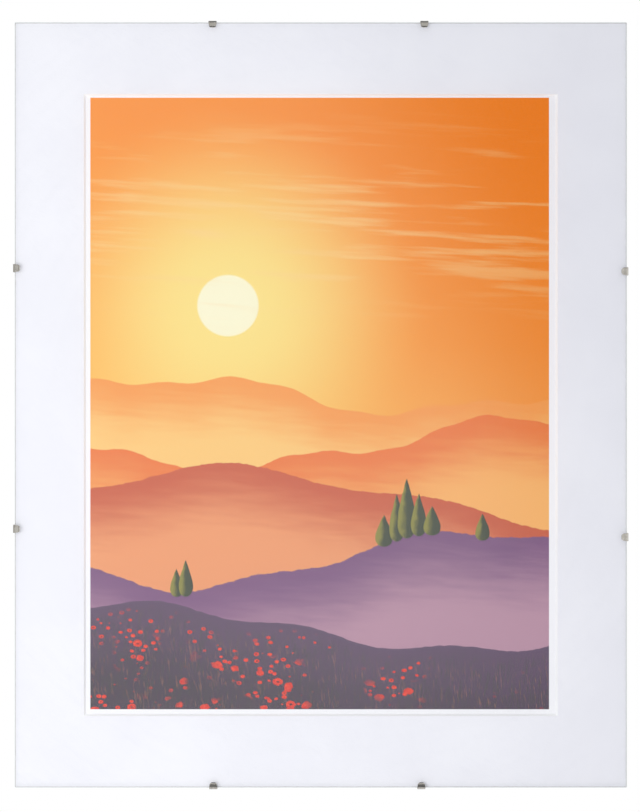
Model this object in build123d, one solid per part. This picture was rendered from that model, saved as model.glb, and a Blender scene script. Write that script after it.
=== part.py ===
from build123d import *
from math import cos, radians, sin, tan
import os

# Clip frame: glass, mat, print and hardboard held in a stack by spring clips that hook over the glass.
# Millimetres. X runs across the picture, Y from the viewer towards the wall, Z up. The origin is the
# point inside the upper hanger ring where a wall nail carries the frame.

# Layers, front to back
pane_width = 400.0
pane_height = 500.0
glass_thickness = 2.0
glass_arris = 0.4  # ground bevel along the glass edges
mat_thickness = 1.4
print_thickness = 0.25
board_thickness = 3.0
insert_inset = 0.5  # how far mat and print stop short of the pane edge

# Window in the mat, its borders measured from the pane edge on the front face
side_border = 45.1
end_border = 46.7
window_bevel = 45.0  # degrees

# Spring clip, bent from flat strip
strip_thickness = 0.6
bend_radius = 0.6  # inside each sharp bend
hook_reach = 3.6  # how far the hook covers the glass
hook_width = 5.2
hook_tip_width = 4.4
hook_tip_radius = 1.8
hook_slope = 8.0  # degrees, from the lip up to the pane edge
lip_radius = 1.5  # outside of the rolled lip that bears on the glass
lip_curl = 50.0  # degrees
arm_width = 10.0
shoulder_length = 5.0  # from the pane edge to the full width of the arm
shoulder_radius = 2.5
bow_rise = 2.2  # height of the bow in the arm
bow_radius = 20.0
tongue_width = 8.0
tongue_stop = 0.8  # from the end of the tongue to the print
lip_clearance = 0.1
edge_clearance = 0.4
arm_clearance = 0.2
tongue_clearance = 0.25

# Slots for the tongues
slot_inset = 20.0  # pane edge to the middle of the tongue
slot_play = 6.0  # room on each side of the tongue, along the slot
swing_room = 1.5  # room for the tongue to swing out towards the pane edge
short_side_pitch = 136.0  # between the two slots of the top or bottom edge
long_side_pitch = 172.0

# Hanger: a strap folded round a wire ring and riveted to the board
hanger_inset = 45.0  # pane edge to the bar of the ring
strap_width = 10.0
strap_thickness = 0.7
fold_gap = 0.05  # between the two leaves of the strap
fold_lead = 1.2  # flat run of the upper leaf behind the ring
fold_slope = 27.0  # degrees
fold_radius = 1.2
wire_diameter = 2.0
wire_clearance = 0.08
bar_side_gap = 0.7  # straight bar beyond each side of the strap
ring_corner_radius = 2.6
ring_leg_angle = 62.0  # degrees, between the bar and a leg
nail_diameter = 3.0

# Eyelet: the hollow rivet of a hanger
eyelet_bore = 3.0
eyelet_wall = 0.5
eyelet_clearance = 0.1
head_diameter = 6.8
head_thickness = 0.7
head_bevel = 0.4  # round the outer edge of the head and round its bore
clinch_diameter = 6.2
clinch_thickness = 0.5
sink_depth = 0.9  # recess in the front of the board for the clinched end
sink_clearance = 0.5
rivet_gap = 2.5  # from the fold of the strap to the eyelet head

# Places that follow from the sizes above
pack_depth = glass_thickness + mat_thickness + print_thickness + board_thickness
wire_radius = wire_diameter / 2
bar_height = strap_thickness + wire_clearance + wire_radius  # bar of the ring above the board
board_back = -bar_height
board_front = board_back - board_thickness
print_front = board_front - print_thickness
mat_front = print_front - mat_thickness
glass_front = mat_front - glass_thickness
insert_width = pane_width - 2 * insert_inset
insert_height = pane_height - 2 * insert_inset

ring_half_apex = 90 - ring_leg_angle
apex_radius = nail_diameter / 2 + wire_radius
ring_half_base = strap_width / 2 + bar_side_gap + ring_corner_radius / tan(radians(ring_leg_angle / 2))
ring_peak = ring_half_base * tan(radians(ring_leg_angle))  # where the two legs would meet
nail_reach = ring_peak - apex_radius * (1 / sin(radians(ring_half_apex)) - 1) - wire_radius
pane_top = hanger_inset - nail_reach
pane_middle = pane_top - pane_height / 2
pane_bottom = pane_top - pane_height

strap_top = 2 * strap_thickness + fold_gap
fold_drop = 2 * bar_height - strap_thickness - (strap_top - strap_thickness)
fold_end = fold_lead + fold_drop / tan(radians(fold_slope))
rivet_inset = fold_end + rivet_gap + head_diameter / 2
shank_radius = eyelet_bore / 2 + eyelet_wall
rivet_hole_radius = shank_radius + eyelet_clearance
clinch_floor = sink_depth - board_thickness

slot_width = strip_thickness + tongue_clearance + swing_room
slot_length = tongue_width + 2 * slot_play
slot_middle = slot_inset + strip_thickness / 2 + tongue_clearance - slot_width / 2

# Middle of each pane edge, the way in from it, the way along it and the pitch of its slots
right, back, up = Vector(1, 0, 0), Vector(0, 1, 0), Vector(0, 0, 1)
left_edge, right_edge = -pane_width / 2, pane_width / 2
pane_edges = {
    "top": (Vector(0, glass_front, pane_top), -up, right, short_side_pitch),
    "bottom": (Vector(0, glass_front, pane_bottom), up, right, short_side_pitch),
    "left": (Vector(left_edge, glass_front, pane_middle), right, up, long_side_pitch),
    "right": (Vector(right_edge, glass_front, pane_middle), -right, up, long_side_pitch),
}

# Each clip's edge, which of its two slots holds the clip, and the slip along it as a share of the play
clip_places = {
    "clip_top_left": ("top", -1, -0.45),
    "clip_top_right": ("top", 1, -0.05),
    "clip_bottom_left": ("bottom", -1, -0.37),
    "clip_bottom_right": ("bottom", 1, -0.38),
    "clip_left_upper": ("left", 1, 0.57),
    "clip_left_lower": ("left", -1, 0.85),
    "clip_right_upper": ("right", 1, 0.23),
    "clip_right_lower": ("right", -1, -0.05),
}

# Board surface under the bar of each ring: local Y points out to the ring, local Z away from the board
hanger_places = {
    "portrait": Plane((0, board_back, -nail_reach), x_dir=-right, z_dir=back),
    "landscape": Plane((left_edge + hanger_inset, board_back, pane_middle), x_dir=-up, z_dir=back),
}


# Frame of a slot or clip on a pane edge: local X points in from the edge, local Y back from the glass
def edge_place(edge, which, slip):
    middle, inward, along, pitch = pane_edges[edge]
    origin = middle + along * (which * pitch / 2 + slip * slot_play)
    return Plane(origin, x_dir=inward, z_dir=inward.cross(back))


def layer(width, height, thickness, front):
    return Pos(0, front + thickness / 2, pane_middle) * Box(width, thickness, height)


def make_glass():
    sheet = layer(pane_width, pane_height, glass_thickness, glass_front)
    return chamfer(sheet.edges(), glass_arris)


def make_mat():
    sheet = layer(insert_width, insert_height, mat_thickness, mat_front)
    face = Plane((0, mat_front, pane_middle), x_dir=right, z_dir=back)
    opening = face * Rectangle(pane_width - 2 * side_border, pane_height - 2 * end_border)
    return sheet - extrude(opening, amount=mat_thickness, taper=window_bevel)


def make_print():
    return layer(insert_width, insert_height, print_thickness, print_front)


def make_board():
    board = layer(pane_width, pane_height, board_thickness, board_front)
    slot_outline = Plane.XZ * Rectangle(slot_width, slot_length)
    slot = Pos(slot_middle, pack_depth, 0) * extrude(slot_outline, amount=board_thickness)
    for edge in pane_edges:
        for which in (-1, 1):
            board -= edge_place(edge, which, 0) * slot
    rivet_spot = Pos(0, -rivet_inset, -board_thickness)
    rivet_hole = rivet_spot * extrude(Circle(rivet_hole_radius), amount=board_thickness)
    rivet_sink = rivet_spot * extrude(Circle(clinch_diameter / 2 + sink_clearance), amount=sink_depth)
    for place in hanger_places.values():
        board -= place * (rivet_hole + rivet_sink)
    return board


# Middle line of the bent strip, from the tip of the rolled lip to the end of the tongue
def clip_line():
    lip_line = lip_radius - strip_thickness / 2
    lip_centre = Vector(hook_reach - lip_radius * sin(radians(lip_curl)), -lip_clearance - lip_radius)
    lip_tip = lip_centre + Vector(sin(radians(lip_curl)), cos(radians(lip_curl))) * lip_line
    lip_foot = lip_centre + Vector(0, lip_line)
    leaf_start = lip_centre + Vector(-sin(radians(hook_slope)), cos(radians(hook_slope))) * lip_line

    web = -edge_clearance - strip_thickness / 2
    leaf_end = leaf_start.Y - (leaf_start.X - web) * tan(radians(hook_slope))
    arm_seat = pack_depth + arm_clearance + strip_thickness / 2
    bend_line = bend_radius + strip_thickness / 2
    bends = FilletPolyline(
        leaf_start,
        (web, leaf_end),
        (web, arm_seat),
        ((web + slot_inset) / 2, arm_seat + bow_rise),
        (slot_inset, arm_seat),
        (slot_inset, pack_depth - board_thickness + tongue_stop),
        radius=[bend_line, bend_line, bow_radius, bend_line],
    )
    return Wire([*ThreePointArc(lip_tip, lip_foot, leaf_start).edges(), *bends.edges()])


# Flat outlines that trim the strip: a narrow hook in front and a flared arm behind, meeting on the web
def clip_blank():
    outside = -edge_clearance - 2 * strip_thickness
    half_hook, half_tip = hook_width / 2, hook_tip_width / 2
    half_arm, half_tongue = arm_width / 2, tongue_width / 2
    tongue_end = slot_inset + strip_thickness
    hook = FilletPolyline(
        (outside, -half_hook), (0, -half_hook), (hook_reach, -half_tip),
        (hook_reach, half_tip), (0, half_hook), (outside, half_hook),
        radius=[0, 0, hook_tip_radius, hook_tip_radius, 0, 0], close=True,
    )
    arm = FilletPolyline(
        (outside, -half_hook), (0, -half_hook), (shoulder_length, -half_arm), (tongue_end, -half_tongue),
        (tongue_end, half_tongue), (shoulder_length, half_arm), (0, half_hook), (outside, half_hook),
        radius=[0, shoulder_radius, shoulder_radius, 0, 0, shoulder_radius, shoulder_radius, 0], close=True,
    )
    trim = pack_depth + slot_inset
    front_trim = extrude(Plane.XZ * make_face(hook.edges()), amount=trim)
    back_trim = extrude(Plane.XZ * make_face(arm.edges()), amount=-trim)
    return Pos(0, pack_depth / 2, 0) * (front_trim + back_trim)


def make_clip():
    profile = trace(clip_line(), line_width=strip_thickness)
    strip_width = max(hook_width, arm_width, tongue_width)
    return extrude(profile, amount=strip_width / 2, both=True) & clip_blank()


def make_strap():
    leaf_line = strap_thickness / 2
    loop_line = bar_height - leaf_line
    loop_top = bar_height + loop_line
    strap_end = -rivet_inset - strap_width / 2
    lower = Line((strap_end, leaf_line), (0, leaf_line))
    loop = ThreePointArc((0, leaf_line), (loop_line, bar_height), (0, loop_top))
    upper = FilletPolyline(
        (0, loop_top),
        (-fold_lead, loop_top),
        (-fold_end, strap_top - leaf_line),
        (strap_end, strap_top - leaf_line),
        radius=fold_radius,
    )
    middle_line = Wire([*lower.edges(), *loop.edges(), *upper.edges()])
    profile = Plane.YZ * trace(middle_line, line_width=strap_thickness)
    strip = extrude(profile, amount=strap_width / 2, both=True)
    straight = Pos(0, (bar_height - rivet_inset) / 2) * Rectangle(strap_width, bar_height + rivet_inset)
    outline = straight + Pos(0, -rivet_inset) * Circle(strap_width / 2)
    hole = Pos(0, -rivet_inset) * Circle(rivet_hole_radius)
    return strip & extrude(outline - hole, amount=2 * bar_height)


def make_ring():
    loop = FilletPolyline(
        (-ring_half_base, 0), (ring_half_base, 0), (0, ring_peak),
        radius=[ring_corner_radius, ring_corner_radius, apex_radius], close=True,
    )
    wire_line = Wire((Pos(0, 0, bar_height) * loop).edges())
    return sweep(Plane(wire_line @ 0, z_dir=wire_line % 0) * Circle(wire_radius), path=wire_line)


def make_eyelet():
    bore, clinch, head = eyelet_bore / 2, clinch_diameter / 2, head_diameter / 2
    clinch_end = clinch_floor - clinch_thickness
    head_top = strap_top + head_thickness
    rim_top = head_top - head_bevel
    outline = Polyline(
        (bore, clinch_end), (clinch, clinch_end), (clinch, clinch_floor), (shank_radius, clinch_floor),
        (shank_radius, strap_top), (head, strap_top), (head, rim_top), (head - head_bevel, head_top),
        (bore + head_bevel, head_top), (bore, rim_top), close=True,
    )
    return Pos(0, -rivet_inset, 0) * revolve(Plane.XZ * make_face(outline.edges()), Axis.Z)


parts = {
    "glass_pane": make_glass(),
    "mat_board": make_mat(),
    "picture_sheet": make_print(),
    "backing_board": make_board(),
}
clip = make_clip()
for name, (edge, which, slip) in clip_places.items():
    parts[name] = edge_place(edge, which, slip) * clip
strap, ring, eyelet = make_strap(), make_ring(), make_eyelet()
for name, place in hanger_places.items():
    parts[f"{name}_strap"] = place * strap
    parts[f"{name}_ring"] = place * ring
    parts[f"{name}_eyelet"] = place * eyelet

os.makedirs("parts", exist_ok=True)
for name, part in parts.items():
    export_step(part, f"parts/{name}.step")
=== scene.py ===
import functools
import math
import bpy
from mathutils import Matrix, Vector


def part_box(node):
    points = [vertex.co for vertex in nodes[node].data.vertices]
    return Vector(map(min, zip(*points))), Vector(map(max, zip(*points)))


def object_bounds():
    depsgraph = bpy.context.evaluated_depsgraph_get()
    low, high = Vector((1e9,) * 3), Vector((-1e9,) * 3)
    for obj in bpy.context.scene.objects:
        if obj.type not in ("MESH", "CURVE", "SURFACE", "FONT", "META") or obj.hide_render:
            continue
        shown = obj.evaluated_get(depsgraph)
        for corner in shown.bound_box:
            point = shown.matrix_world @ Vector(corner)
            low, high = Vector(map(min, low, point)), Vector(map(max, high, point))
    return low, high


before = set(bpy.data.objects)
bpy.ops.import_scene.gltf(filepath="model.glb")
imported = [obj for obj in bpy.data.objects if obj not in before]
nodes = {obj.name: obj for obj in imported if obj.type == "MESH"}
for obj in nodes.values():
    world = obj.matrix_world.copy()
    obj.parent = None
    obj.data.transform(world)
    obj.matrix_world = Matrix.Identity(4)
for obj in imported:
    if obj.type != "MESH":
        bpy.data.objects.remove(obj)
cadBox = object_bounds()
paneLow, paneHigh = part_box("glass_pane")
paneMiddle = (paneLow + paneHigh) / 2
halfWidth = (paneHigh.x - paneLow.x) / 2
halfHeight = (paneHigh.z - paneLow.z) / 2
print("frame loaded,", len(nodes), "nodes")


class Socket:  # a node's output that sums can be written with
    def __init__(self, tree, output=None):
        self.tree = tree
        self.output = output

    def node(self, kind, settings=None, inputs=None, out=0):  # any node: its settings, then its sockets
        made = self.tree.nodes.new(kind)
        for name, value in (settings or {}).items():
            if name == "stops":
                fillRamp(made.color_ramp, value)
            else:
                setattr(made, name, value)
        for key, value in (inputs or {}).items():
            if isinstance(value, Socket):
                self.tree.links.new(value.output, made.inputs[key])
            else:
                made.inputs[key].default_value = value
        return Socket(self.tree, made.outputs[out] if made.outputs else None)

    def math(self, operation, *values):
        return self.node("ShaderNodeMath", {"operation": operation}, dict(enumerate(values)))

    def __add__(self, other):
        return self.math("ADD", self, other)

    def __radd__(self, other):
        return self.math("ADD", other, self)

    def __sub__(self, other):
        return self.math("SUBTRACT", self, other)

    def __rsub__(self, other):
        return self.math("SUBTRACT", other, self)

    def __mul__(self, other):
        return self.math("MULTIPLY", self, other)

    def __rmul__(self, other):
        return self.math("MULTIPLY", other, self)

    def __truediv__(self, other):
        return self.math("DIVIDE", self, other)

    def __rtruediv__(self, other):
        return self.math("DIVIDE", other, self)

    def __abs__(self):
        return self.math("ABSOLUTE", self)

    def step(self, low, high):  # 0 at low, 1 at high, eased between; low may be the larger
        settings = {"interpolation_type": "SMOOTHSTEP", "clamp": True}
        return self.node("ShaderNodeMapRange", settings, {"Value": self, "From Min": low, "From Max": high})

    def colour(self, first, second):  # from the first colour to the second as this goes 0 to 1
        settings = {"data_type": "RGBA", "blend_type": "MIX", "clamp_factor": True}
        return self.node("ShaderNodeMix", settings, {"Factor": self, 6: first, 7: second}, 2)

    def stretched(self, cell, degrees=0):  # this place in cells of that size, turned in the picture plane
        inputs = {"Vector": self, "Rotation": (0, math.radians(degrees), 0), "Scale": cell}
        return self.node("ShaderNodeMapping", {"vector_type": "TEXTURE"}, inputs)

    def noise(self, scale, layers, rough):  # about 0.5 on average
        inputs = {"Vector": self, "Scale": scale, "Detail": layers, "Roughness": rough}
        return self.node("ShaderNodeTexNoise", {}, inputs)

    def streaks(self, cell, degrees, layers, rough):  # noise drawn out to cells of that size
        return self.stretched(cell, degrees).noise(1, layers, rough)

    def axes(self):  # the three numbers of a place
        split = self.node("ShaderNodeSeparateXYZ", {}, {"Vector": self})
        return [Socket(self.tree, output) for output in split.output.node.outputs]

    def bump(self, height, strength):
        return self.node("ShaderNodeBump", {}, {"Height": self, "Distance": height, "Strength": strength})


def fillRamp(ramp, stops):
    for spot, _ in stops[2:]:  # a new ramp has two
        ramp.elements.new(spot)
    for element, (spot, shade) in zip(ramp.elements, sorted(stops)):
        element.position = spot
        element.color = shade


def ink(red, green, blue):  # a colour as a screen shows it, 0 to 255
    def linear(value):
        value /= 255
        return value / 12.92 if value <= 0.04045 else ((value + 0.055) / 1.055) ** 2.4
    return (linear(red), linear(green), linear(blue), 1.0)


def largest(first, second):
    return first.math("MAXIMUM", first, second)


def smallest(first, second):
    return first.math("MINIMUM", first, second)


def length(first, second):
    square = first * first + second * second
    return square.math("SQRT", square)


def sine(value):
    return value.math("SINE", value) if isinstance(value, Socket) else math.sin(value)


def newFinish(name):
    material = bpy.data.materials.new(name)
    material.use_nodes = True
    material.node_tree.nodes.clear()
    start = Socket(material.node_tree)
    return material, start.node("ShaderNodeTexCoord", out="Object")


def close(place, shader):
    place.node("ShaderNodeOutputMaterial", {}, {"Surface": shader})


def dress(names, material):
    for name in names:
        nodes[name].data.materials.clear()
        nodes[name].data.materials.append(material)


def edgeDistance(x, z):  # how far a point lies inside the edge of the pane
    return smallest(halfWidth - abs(x - paneMiddle.x), halfHeight - abs(z - paneMiddle.z))


# Sizes below are in metres. A noise is its scale, layers and roughness, a streak its cell, turn, layers and
# roughness, and a bump its height and strength. Limits are where a thing is none and where it is full.

# Glass
glassLook = {
    "tint": (0.990, 0.992, 0.991, 1.0),
    "gloss": 0.043,  # of one face, looked at squarely
    "slantPower": 5,  # how fast the gloss grows at a slant
    "groundWidth": 0.0004,  # ground bevel along the edge
    "groundSoft": 0.00004,
    "ground": ink(244, 247, 246),
    "groundDark": ink(222, 230, 227),
    "groundRough": (0.35, 0.25),  # least, and how much the grain adds
    "groundShare": 0.92,
    "shadowLess": 0.8,  # light passes through the ground edge too
    "grain": (2600, 3, 0.6),
    "grainBump": (0.00006, 1.0),
}


def clearGlass():
    look = glassLook
    material, place = newFinish("clear_glass")
    x, y, z = place.axes()
    clear = place.node("ShaderNodeBsdfTransparent", {}, {"Color": look["tint"]})
    shine = place.node("ShaderNodeBsdfGlossy", {}, {"Roughness": 0.0})
    slant = place.node("ShaderNodeLayerWeight", {}, {"Blend": 0.5}, "Facing")
    oneFace = slant.math("POWER", slant, look["slantPower"]) * (1 - look["gloss"]) + look["gloss"]
    bothFaces = oneFace * 2 / (oneFace + 1)
    front = y.step(paneMiddle.y, paneLow.y)  # the front face mirrors for both
    pane = place.node("ShaderNodeMixShader", {}, {0: bothFaces * front, 1: clear, 2: shine})
    grain = place.noise(*look["grain"])
    least, more = look["groundRough"]
    ground = place.node("ShaderNodeBsdfPrincipled", {}, {
        "Base Color": grain.colour(look["groundDark"], look["ground"]),
        "Roughness": least + grain * more,
        "Normal": grain.bump(*look["grainBump"]),
    })
    width, soft = look["groundWidth"], look["groundSoft"]
    edge = edgeDistance(x, z).step(width + soft, width - soft)
    shadow = place.node("ShaderNodeLightPath", out="Is Shadow Ray")
    cover = edge * (look["groundShare"] - shadow * look["shadowLess"])
    close(place, place.node("ShaderNodeMixShader", {}, {0: cover, 1: pane, 2: ground}))
    return material


dress(["glass_pane"], clearGlass())
print("glass done")


# Mat
matLook = {
    "borders": (0.0451, 0.0467),  # pane edge to the window, at the sides and at the ends
    "cutSoft": 0.00005,
    "face": ink(248, 248, 252),
    "shade": ink(243, 243, 248),
    "core": ink(255, 255, 255),
    "rough": (0.82, 0.12),  # least, and how much the tooth adds
    "gloss": 0.3,
    "cloud": (14, 3, 0.5),
    "tooth": (2400, 4, 0.65),
    "fibre": ((0.007, 0.001, 0.001), 38, 3, 0.6),
    "toneShares": (0.5, 0.3, 0.2),  # of cloud, tooth and fibre
    "toneLimits": (0.38, 0.62),
    "fibreRelief": 0.5,  # beside the tooth's
    "bump": (0.000012, 0.5),
    "faceWay": (0.0, -1.0, 0.0, 1.0),  # towards the viewer
    "coreSpread": 0.95,  # how far the cut core takes light as the face does
}


def matCard():
    look = matLook
    material, place = newFinish("mat_card")
    x, y, z = place.axes()
    side, end = look["borders"]
    inward = largest(abs(x - paneMiddle.x) - (halfWidth - side), abs(z - paneMiddle.z) - (halfHeight - end))
    core = inward.step(look["cutSoft"], -look["cutSoft"])  # the bevelled cut shows the core of the card
    cloud = place.noise(*look["cloud"])
    tooth = place.noise(*look["tooth"])
    fibre = place.streaks(*look["fibre"])
    ofCloud, ofTooth, ofFibre = look["toneShares"]
    tone = (cloud * ofCloud + tooth * ofTooth + fibre * ofFibre).step(*look["toneLimits"])
    face = tone.colour(look["shade"], look["face"])
    relief = (tooth + fibre * look["fibreRelief"]).bump(*look["bump"])
    least, more = look["rough"]
    card = place.node("ShaderNodeBsdfPrincipled", {}, {
        "Base Color": core.colour(face, look["core"]),
        "Roughness": least + tooth * more,
        "Specular IOR Level": look["gloss"],
        "Normal": (core * look["coreSpread"]).colour(relief, look["faceWay"]),
    })
    close(place, card)
    return material


dress(["mat_board"], matCard())
print("mat done")


# Printed sheet: misty hills under a low sun, with places and heights as parts of the printed area
pictureLook = {
    "size": (0.300, 0.400),
    "offset": (-0.0007, 0.0010),  # middle of the printed area from the middle of the pane
    "edgeSoft": 0.0001,
    "paper": ink(253, 253, 255),
    "rough": (0.5, 0.12),  # least, and how much the grain adds
    "gloss": 0.15,
    "grain": (2100, 3, 0.7),
    "grainLimits": (0.3, 0.7),
    "grainShare": 0.025,  # of paper that shows through the ink
    "grainBump": (0.00001, 0.4),
    "stroke": ((0.030, 0.01, 0.0035), 4, 3, 0.6),
    "ridge": ((0.0045, 0.01, 0.0045), 0, 3, 0.6),
    "sky": {
        "stops": [
            (0.44, ink(255, 197, 84)),
            (0.60, ink(255, 172, 40)),
            (0.80, ink(255, 155, 14)),
            (1.0, ink(254, 145, 2)),
        ],
        "dusk": ink(246, 120, 6),  # towards the right
        "duskLimits": (0.2, 1.2),
        "duskShare": 0.7,
        "sun": ink(255, 250, 214),
        "sunPlace": (0.30, 0.66),
        "sunRadius": 0.050,
        "sunSoft": 0.002,
        "glow": ink(255, 236, 140),
        "glowReach": 0.34,
        "glowShare": 0.85,
        "cloud": ink(255, 214, 140),
        "cloudStreak": ((0.085, 0.01, 0.0055), 3, 3, 0.5),
        "cloudLimits": (0.50, 0.72),
        "cloudBand": (0.60, 0.76, 0.86, 1.0),  # starts, is full, thins and ends
        "cloudShare": 0.5,
    },
    "crestSoft": 0.0010,
    "mistStroke": 0.06,  # how far the strokes blur the mist
    # Far to near: height of the crest, its waves (height, count, start) and roughness, then the colours of
    # crest and foot and the depth over which one turns into the other
    "hills": [
        {"height": 0.515, "waves": [(0.028, 0.9, 0.10), (0.011, 2.3, 0.40), (0.003, 7.0, 0.15)],
         "rough": 0.002, "crest": ink(250, 158, 66), "foot": ink(255, 206, 120), "depth": 0.11},
        {"height": 0.435, "waves": [(0.040, 0.7, 0.55), (0.012, 2.6, 0.05), (0.002, 9.0, 0.50)],
         "rough": 0.004, "crest": ink(240, 122, 44), "foot": ink(254, 184, 100), "depth": 0.12},
        {"height": 0.345, "waves": [(0.048, 0.6, 0.08), (0.010, 2.1, 0.62)],
         "rough": 0.007, "crest": ink(206, 90, 50), "foot": ink(242, 158, 104), "depth": 0.12},
        {"height": 0.245, "waves": [(0.046, 0.8, 0.58), (0.008, 2.9, 0.21)],
         "rough": 0.009, "crest": ink(124, 80, 126), "foot": ink(188, 144, 164), "depth": 0.14},
        {"height": 0.135, "waves": [(0.038, 0.65, 0.22), (0.007, 3.1, 0.80)],
         "rough": 0.006, "crest": ink(92, 66, 98), "foot": ink(62, 44, 68), "depth": 0.15},
    ],
    "trees": {
        "places": [  # across, half width and height, standing on the crest of their hill
            (0.640, 0.0120, 0.052), (0.668, 0.0105, 0.078), (0.690, 0.0130, 0.098), (0.716, 0.0110, 0.070),
            (0.745, 0.0120, 0.048), (0.855, 0.0100, 0.044), (0.188, 0.0090, 0.046), (0.208, 0.0100, 0.060),
        ],
        "sunk": 0.008,  # foot below the crest
        "taper": 0.72,  # slender above, full below
        "ragged": 0.25,
        "rimLimits": (1.06, 0.90),
        "leaf": ink(52, 64, 40),
        "lit": ink(142, 138, 56),
        "litRagged": 0.8,
        "litLimits": (0.1, -0.7),
    },
    "meadow": {
        "grasses": [  # dark blades, then lit ones, with their depth below the crest
            {"colour": ink(52, 64, 40), "streak": ((0.0007, 0.01, 0.006), 6, 3, 0.6),
             "limits": (0.42, 0.72), "depthLimits": (-0.004, 0.03), "share": 0.5},
            {"colour": ink(182, 122, 88), "streak": ((0.0007, 0.01, 0.006), -7, 2, 0.5),
             "limits": (0.58, 0.74), "depthLimits": (0.0, 0.05), "share": 0.4},
        ],
        "poppies": [  # further off and near: cell, and where they start below the crest
            ((0.0062, 0.01, 0.0044), 0.006),
            ((0.0125, 0.01, 0.0090), 0.05),
        ],
        "poppyFade": 0.02,
        "patch": (24, 2, 0.5),
        "patchLean": 0.22,  # thicker on the left
        "patchLimits": (0.36, 0.46),
        "petal": ink(246, 66, 30),
        "petalShade": ink(214, 26, 16),
        "petalLimits": (0.29, 0.25),
        "frill": ((0.0024, 0.01, 0.0018), 0, 2, 0.5),
        "frillReach": 0.22,
        "frillTone": 2.4,
        "heart": ink(58, 26, 40),
        "heartLimits": (0.09, 0.05),
    },
}
treeHill, meadowHill = pictureLook["hills"][-2:]  # the two nearest


def crestHeight(hill, across):
    height = hill["height"]
    for rise, count, start in hill["waves"]:
        height = sine((across * count + start) * math.tau) * rise + height
    return height


def paintSky(place, across, up, shape):
    look = pictureLook["sky"]
    picture = up.node("ShaderNodeValToRGB", {"stops": look["stops"]}, {"Fac": up})
    picture = (across.step(*look["duskLimits"]) * look["duskShare"]).colour(picture, look["dusk"])
    sunAcross, sunUp = look["sunPlace"]
    radius, soft = look["sunRadius"], look["sunSoft"]
    reach = length((across - sunAcross) * shape, up - sunUp)
    picture = (reach.step(look["glowReach"], radius) * look["glowShare"]).colour(picture, look["glow"])
    picture = reach.step(radius + soft, radius - soft).colour(picture, look["sun"])
    streak = place.streaks(*look["cloudStreak"]).step(*look["cloudLimits"])
    start, full, thin, end = look["cloudBand"]
    band = up.step(start, full) * up.step(end, thin)
    return (streak * band * look["cloudShare"]).colour(picture, look["cloud"])


def paintHill(hill, picture, across, up, stroke, ridge):
    soft = pictureLook["crestSoft"]
    below = crestHeight(hill, across) + ridge * hill["rough"] - up
    mist = (below + stroke * pictureLook["mistStroke"]).step(0.0, hill["depth"])
    return below.step(-soft, soft).colour(picture, mist.colour(hill["crest"], hill["foot"]))


def paintTrees(picture, across, up, shape, ridge):
    look = pictureLook["trees"]
    for spot, half, tall in look["places"]:
        foot = crestHeight(treeHill, spot) - look["sunk"]
        aside = (across - spot) * (shape / half) + ridge * look["ragged"]
        along = (up - (foot + tall / 2)) / (tall / 2)
        narrow = aside / (1.0 - along * look["taper"])
        crown = (narrow * narrow + along * along).step(*look["rimLimits"])
        lit = (narrow + ridge * look["litRagged"]).step(*look["litLimits"])
        picture = crown.colour(picture, lit.colour(look["leaf"], look["lit"]))
    return picture


def paintMeadow(place, picture, across, up):  # grass and poppies on the nearest slope
    look = pictureLook["meadow"]
    depth = crestHeight(meadowHill, across) - up
    for grass in look["grasses"]:
        blade = place.streaks(*grass["streak"]).step(*grass["limits"])
        grown = blade * depth.step(*grass["depthLimits"]) * grass["share"]
        picture = grown.colour(picture, grass["colour"])
    patch = (place.noise(*look["patch"]) - across * look["patchLean"]).step(*look["patchLimits"])
    frill = place.streaks(*look["frill"]) - 0.5
    petal = (frill * look["frillTone"] + 0.5).colour(look["petalShade"], look["petal"])
    for cell, start in look["poppies"]:
        spread = place.stretched(cell)
        middle = spread.node("ShaderNodeTexVoronoi", {}, {"Vector": spread, "Scale": 1.0})
        bloom = middle + frill * look["frillReach"]
        flower = bloom.step(*look["heartLimits"]).colour(petal, look["heart"])
        grown = bloom.step(*look["petalLimits"]) * patch * depth.step(start, start + look["poppyFade"])
        picture = grown.colour(picture, flower)
    return picture


def picturePaper():
    look = pictureLook
    material, place = newFinish("picture_paper")
    x, y, z = place.axes()
    width, height = look["size"]
    moveX, moveZ = look["offset"]
    fromX = x - (paneMiddle.x + moveX)
    fromZ = z - (paneMiddle.z + moveZ)
    across = fromX / width + 0.5
    up = fromZ / height + 0.5
    shape = width / height
    stroke = place.streaks(*look["stroke"]) - 0.5
    ridge = place.streaks(*look["ridge"]) - 0.5
    picture = paintSky(place, across, up, shape)
    for hill in look["hills"]:
        if hill is meadowHill:  # the trees stand behind it
            picture = paintTrees(picture, across, up, shape, ridge)
        picture = paintHill(hill, picture, across, up, stroke, ridge)
    picture = paintMeadow(place, picture, across, up)

    grain = place.noise(*look["grain"])
    picture = (grain.step(*look["grainLimits"]) * look["grainShare"]).colour(picture, look["paper"])
    soft = look["edgeSoft"]
    inside = smallest(width / 2 - abs(fromX), height / 2 - abs(fromZ)).step(-soft, soft)
    least, more = look["rough"]
    sheet = place.node("ShaderNodeBsdfPrincipled", {}, {
        "Base Color": inside.colour(look["paper"], picture),
        "Roughness": least + grain * more,
        "Specular IOR Level": look["gloss"],
        "Normal": grain.bump(*look["grainBump"]),
    })
    close(place, sheet)
    return material


dress(["picture_sheet"], picturePaper())
print("print done")


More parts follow.
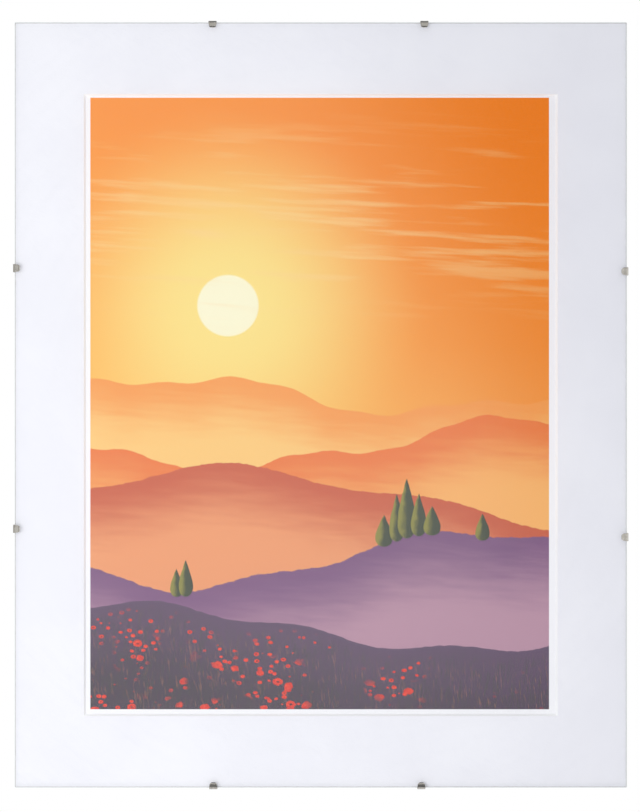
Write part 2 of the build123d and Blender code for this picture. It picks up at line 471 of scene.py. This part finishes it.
# Hardboard back
boardLook = {
    "brown": ink(134, 97, 66),
    "tan": ink(145, 107, 75),
    "light": ink(184, 146, 108),
    "dark": ink(92, 63, 42),
    "sawn": ink(112, 78, 52),
    "rough": (0.5, 0.16, 0.25, 0.2),  # least, and what cloud, edge and scuffs add
    "cloud": (30, 4, 0.6),
    "cloudLimits": (0.25, 0.75),
    "fibreCells": [(0.0055, 0.001, 0.00045), (0.0021, 0.001, 0.00020)],  # long and short ones
    "fibreTurns": (8, 47, 95, 139),
    "fibreNoise": (2, 0.5),  # layers and roughness
    "paleLimits": (0.70, 0.80),
    "paleShare": 0.6,
    "deepLimits": (0.30, 0.20),
    "deepShare": 0.65,
    "slotInset": 0.019375,
    "slotPitch": (0.136, 0.172),  # along the short and the long edges
    "slotSize": (0.020, 0.00235),
    "fray": (1800, 3, 0.7),
    "scuffFray": 0.0014,
    "scuffLimits": (0.0008, 0.0),  # off the slots
    "scuffShare": 0.5,
    "sawTeeth": ((0.0011, 0.016, 0.0011), 0, 2, 0.6),
    "sawLimits": (0.3, 0.7),
    "edgeFray": 0.0006,
    "edgeLimits": (0.0003, 0.0),  # in from the edge
    "fibreRelief": 0.6,
    "frayRelief": 0.3,
    "bump": (0.00006, 0.6),
}


def hardboard():
    look = boardLook
    material, place = newFinish("hardboard")
    x, y, z = place.axes()
    awayX = abs(x - paneMiddle.x)
    awayZ = abs(z - paneMiddle.z)
    fibres = [place.streaks(cell, turn, *look["fibreNoise"])
              for cell in look["fibreCells"] for turn in look["fibreTurns"]]
    pale = functools.reduce(largest, fibres).step(*look["paleLimits"])
    deep = functools.reduce(smallest, fibres).step(*look["deepLimits"])
    cloud = place.noise(*look["cloud"])
    face = cloud.step(*look["cloudLimits"]).colour(look["brown"], look["tan"])
    face = (pale * look["paleShare"]).colour(face, look["light"])
    face = (deep * look["deepShare"]).colour(face, look["dark"])

    slotLength, slotWidth = look["slotSize"]
    shortPitch, longPitch = look["slotPitch"]
    endSlot = largest(abs(awayX - shortPitch / 2) - slotLength / 2,
                      abs(awayZ - (halfHeight - look["slotInset"])) - slotWidth / 2)
    sideSlot = largest(abs(awayZ - longPitch / 2) - slotLength / 2,
                       abs(awayX - (halfWidth - look["slotInset"])) - slotWidth / 2)
    fray = place.noise(*look["fray"])
    scuff = (smallest(endSlot, sideSlot) + (fray - 0.5) * look["scuffFray"]).step(*look["scuffLimits"])
    face = (scuff * look["scuffShare"]).colour(face, look["light"])

    saw = place.streaks(*look["sawTeeth"])
    sawn = saw.step(*look["sawLimits"]).colour(look["dark"], look["sawn"])
    edge = (edgeDistance(x, z) + (fray - 0.5) * look["edgeFray"]).step(*look["edgeLimits"])
    strands = pale * look["fibreRelief"] - deep * look["fibreRelief"]
    relief = strands + fray * look["frayRelief"] * (edge + scuff)
    least, ofCloud, ofEdge, ofScuff = look["rough"]
    board = place.node("ShaderNodeBsdfPrincipled", {}, {
        "Base Color": edge.colour(face, sawn),
        "Roughness": least + cloud * ofCloud + edge * ofEdge + scuff * ofScuff,
        "Normal": relief.bump(*look["bump"]),
    })
    close(place, board)
    return material


dress(["backing_board"], hardboard())
print("hardboard done")


# Metal of the clips and hangers
clipLook = {
    "bright": ink(214, 211, 204),
    "dull": ink(188, 184, 176),
    "rough": (0.14, 0.14),  # least, and how much brushing and wear add
    "brush": (0.012, 0.00008),  # along the strip and across it
    "edge": 0.00012,  # how far sharp edges are worn round
}
strapLook = {
    "bright": ink(206, 208, 210),
    "dull": ink(172, 175, 178),
    "rough": (0.30, 0.20),
    "brush": (0.007, 0.00015),
    "edge": 0.00012,
}
wireLook = {
    "bright": ink(216, 217, 218),
    "dull": ink(196, 198, 200),
    "rough": (0.18, 0.20),
    "brush": (0.0007, 0.0007),
    "edge": 0.00005,
}
brassLook = {
    "bright": ink(224, 197, 130),
    "dull": ink(192, 161, 98),
    "rough": (0.22, 0.22),  # least, and how much turning marks and tarnish add
    "roughShares": (0.5, 0.5),  # of turning marks and tarnish
    "rings": 9000,  # scale of the turning marks
    "tarnish": (480, 4, 0.6),
    "tarnishLimits": (0.30, 0.75),
    "edge": 0.00035,  # rolled head
}
metalLook = {  # the first two for all the metal, the rest for what is plated
    "bump": (0.000006, 0.5),
    "edgeSamples": 6,
    "brushNoise": (3, 0.6),  # layers and roughness
    "smudge": (300, 3, 0.5),
    "wearShares": (0.55, 0.45),  # of smudges and brushing
    "wearLimits": (0.30, 0.66),
    "roughShares": (0.6, 0.4),  # of brushing and of dull places
    "pits": (5200, 2, 0.6),
    "pitLimits": (0.68, 0.76),
    "pitShare": 0.5,
}


def worn(height, radius):  # the relief, with edges that catch the light as rounded ones do
    relief = height.bump(*metalLook["bump"])
    settings = {"samples": metalLook["edgeSamples"]}
    return relief.node("ShaderNodeBevel", settings, {"Radius": radius, "Normal": relief})


def plated(name, look, widthAxis):  # plated strip or wire, brushed along its length
    material, place = newFinish(name)
    along, across = look["brush"]
    cell = [along] * 3
    cell["xyz".index(widthAxis)] = across
    brush = place.streaks(cell, 0, *metalLook["brushNoise"])
    smudge = place.noise(*metalLook["smudge"])
    smudgeWear, brushWear = metalLook["wearShares"]
    wear = (smudge * smudgeWear + brush * brushWear).step(*metalLook["wearLimits"])
    tone = wear.colour(look["dull"], look["bright"])
    pits = place.noise(*metalLook["pits"]).step(*metalLook["pitLimits"]) * metalLook["pitShare"]
    least, more = look["rough"]
    brushRough, dullRough = metalLook["roughShares"]
    metal = place.node("ShaderNodeBsdfPrincipled", {}, {
        "Base Color": pits.colour(tone, look["dull"]),
        "Metallic": 1.0,
        "Roughness": least + more * (brush * brushRough + (1 - wear) * dullRough),
        "Normal": worn(brush - pits, look["edge"]),
    })
    close(place, metal)
    return material


def eyeletBrass(name):  # one for each eyelet, because its turning marks run round its own axis
    look = brassLook
    material, place = newFinish(name + "_brass")
    low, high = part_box(name)
    middle = (low + high) / 2
    x, y, z = place.axes()
    turning = {"W": length(x - middle.x, z - middle.z), "Scale": look["rings"]}
    mark = place.node("ShaderNodeTexNoise", {"noise_dimensions": "1D"}, turning)
    tarnish = place.noise(*look["tarnish"]).step(*look["tarnishLimits"])
    least, more = look["rough"]
    ofMark, ofTarnish = look["roughShares"]
    metal = place.node("ShaderNodeBsdfPrincipled", {}, {
        "Base Color": tarnish.colour(look["bright"], look["dull"]),
        "Metallic": 1.0,
        "Roughness": least + more * (mark * ofMark + tarnish * ofTarnish),
        "Normal": worn(mark, look["edge"]),
    })
    close(place, metal)
    return material


endClips = [name for name in nodes if name.startswith(("clip_top", "clip_bottom"))]
sideClips = [name for name in nodes if name.startswith(("clip_left", "clip_right"))]
dress(endClips, plated("clip_steel_ends", clipLook, "x"))
dress(sideClips, plated("clip_steel_sides", clipLook, "z"))
dress(["portrait_strap"], plated("hanger_steel_portrait", strapLook, "x"))
dress(["landscape_strap"], plated("hanger_steel_landscape", strapLook, "z"))
dress(["portrait_ring", "landscape_ring"], plated("hanger_wire", wireLook, "x"))
for eyelet in ("portrait_eyelet", "landscape_eyelet"):
    dress([eyelet], eyeletBrass(eyelet))
print("metal done")


# Floor, a pale disc that fades out into the white
floorLook = {
    "drop": 0.60,  # below the lowest edge
    "radius": 3.2,
    "sides": 96,
    "fadeLimits": (1.0, 3.0),
    "colour": ink(238, 238, 240),
    "mirrored": ink(236, 236, 238),  # as glass and metal show it
}


def layFloor():
    look = floorLook
    bpy.ops.object.select_all(action="DESELECT")
    level = cadBox[0].z - look["drop"]
    bpy.ops.mesh.primitive_circle_add(vertices=look["sides"], radius=look["radius"], fill_type="NGON",
                                      location=(0, 0, level))
    bpy.ops.object.transform_apply(location=True, rotation=True, scale=True)
    floor = bpy.context.object
    floor.name = "studio_floor"
    material, place = newFinish("studio_floor")
    x, y, z = place.axes()
    faded = length(x, y).step(*look["fadeLimits"])
    pale = place.node("ShaderNodeBsdfDiffuse", {}, {"Color": look["colour"]})
    even = place.node("ShaderNodeEmission", {}, {"Color": look["mirrored"]})
    gloss = place.node("ShaderNodeLightPath", out="Is Glossy Ray")
    pale = place.node("ShaderNodeMixShader", {}, {0: gloss, 1: pale, 2: even})
    gone = place.node("ShaderNodeBsdfTransparent")
    close(place, place.node("ShaderNodeMixShader", {}, {0: faded, 1: pale, 2: gone}))
    floor.data.materials.append(material)


layFloor()
print("floor done")


# White studio: the world lights softly and shows white, with darker sides for gloss to mirror
studioLook = {
    "soft": (0.742, 0.744, 0.780, 1.0),  # light from all round
    "white": (1.0, 1.0, 1.0, 1.0),
    "screenLight": (1.2, 1.2, 1.2, 1.0),
    "walls": ink(188, 187, 184),  # what gloss finds in front, beside the big white screen
    "unlit": ink(56, 56, 64),
    "screenPlace": (-0.07, -0.01),  # white screen by the camera
    "screenLimits": (0.19, 0.08),  # its rim, and its even part
    "gap": (0.022, 0.095, 0.12, 0.17),  # unlit strip right of the camera: starts, is full, thins, ends
    "gapLean": 0.45,
    "window": (0.14, 0.23),  # bright again further right
    "ceiling": (0.11, 0.18, 0.30, 0.45),  # unlit band above the camera, in the same order
    "behind": (-0.4, 0.5),  # brighter upwards, at the back
    "frontToBack": (-0.2, 0.2),
}
lampLooks = {
    "key_lamp": {"place": (-0.56, -0.94, -0.38), "size": 1.0, "power": 5.5},
    "back_lamp": {"place": (1.2, 2.0, 0.5), "size": 1.2, "power": 28},
}


def lightStudio():
    look = studioLook
    world = bpy.data.worlds.new("studio")
    bpy.context.scene.world = world
    world.use_nodes = True
    world.node_tree.nodes.clear()
    world.cycles.sampling_method = "NONE"  # so that every ray finds the side of the studio meant for it
    start = Socket(world.node_tree)
    x, y, z = start.node("ShaderNodeTexCoord", out="Generated").axes()
    screenX, screenZ = look["screenPlace"]
    screen = length(x - screenX, z - screenZ).step(*look["screenLimits"])
    front = screen.colour(look["walls"], look["screenLight"])
    front = x.step(*look["window"]).colour(front, look["white"])
    gapStart, gapFull, gapThin, gapEnd = look["gap"]
    gap = (x + z * look["gapLean"]).step(gapStart, gapFull) * x.step(gapEnd, gapThin)
    bandStart, bandFull, bandThin, bandEnd = look["ceiling"]
    band = z.step(bandStart, bandFull) * z.step(bandEnd, bandThin)
    front = largest(gap, band).colour(front, look["unlit"])
    back = z.step(*look["behind"]).colour(look["walls"], look["white"])
    mirrored = y.step(*look["frontToBack"]).colour(front, back)
    direct = start.node("ShaderNodeLightPath", out="Is Camera Ray")
    through = start.node("ShaderNodeLightPath", out="Is Transmission Ray")
    gloss = start.node("ShaderNodeLightPath", out="Is Glossy Ray")
    shade = largest(direct, through).colour(look["soft"], look["white"])
    shade = gloss.colour(shade, mirrored)
    backdrop = start.node("ShaderNodeBackground", {}, {"Color": shade, "Strength": 1.0})
    start.node("ShaderNodeOutputWorld", {}, {"Surface": backdrop})
    for name, lampLook in lampLooks.items():
        lamp = bpy.data.lights.new(name, "AREA")
        lamp.energy = lampLook["power"]
        lamp.size = lampLook["size"]
        holder = bpy.data.objects.new(name, lamp)
        bpy.context.scene.collection.objects.link(holder)
        holder.location = lampLook["place"]
        holder.rotation_euler = (paneMiddle - holder.location).to_track_quat("-Z", "Y").to_euler()
        holder.visible_camera = False
        holder.visible_glossy = False  # gloss mirrors the screen instead
    bpy.context.scene.view_settings.view_transform = "Standard"


lightStudio()
print("light done")


# Camera, straight in front
cameraLook = {
    "frame": (640, 812),
    "paneMiddle": (320.75, 405.0),  # where the middle of the pane shows, in pixels
    "pixelsPerMetre": 1531.0,  # at the front of the glass
    "lens": 170.0,
    "sensor": 36.0,
}


def standCamera():
    look = cameraLook
    wide, tall = look["frame"]
    scale = look["pixelsPerMetre"]
    data = bpy.data.cameras.new("camera")
    data.lens = look["lens"]
    data.sensor_width = look["sensor"]
    holder = bpy.data.objects.new("camera", data)
    bpy.context.scene.collection.objects.link(holder)
    away = tall / scale * look["lens"] / look["sensor"]
    pixelX, pixelY = look["paneMiddle"]
    holder.location = (
        paneMiddle.x - (pixelX - wide / 2) / scale,
        paneLow.y - away,
        paneMiddle.z + (pixelY - tall / 2) / scale,
    )
    holder.rotation_euler = (math.radians(90), 0, 0)
    bpy.context.scene.camera = holder


standCamera()
print("camera done")
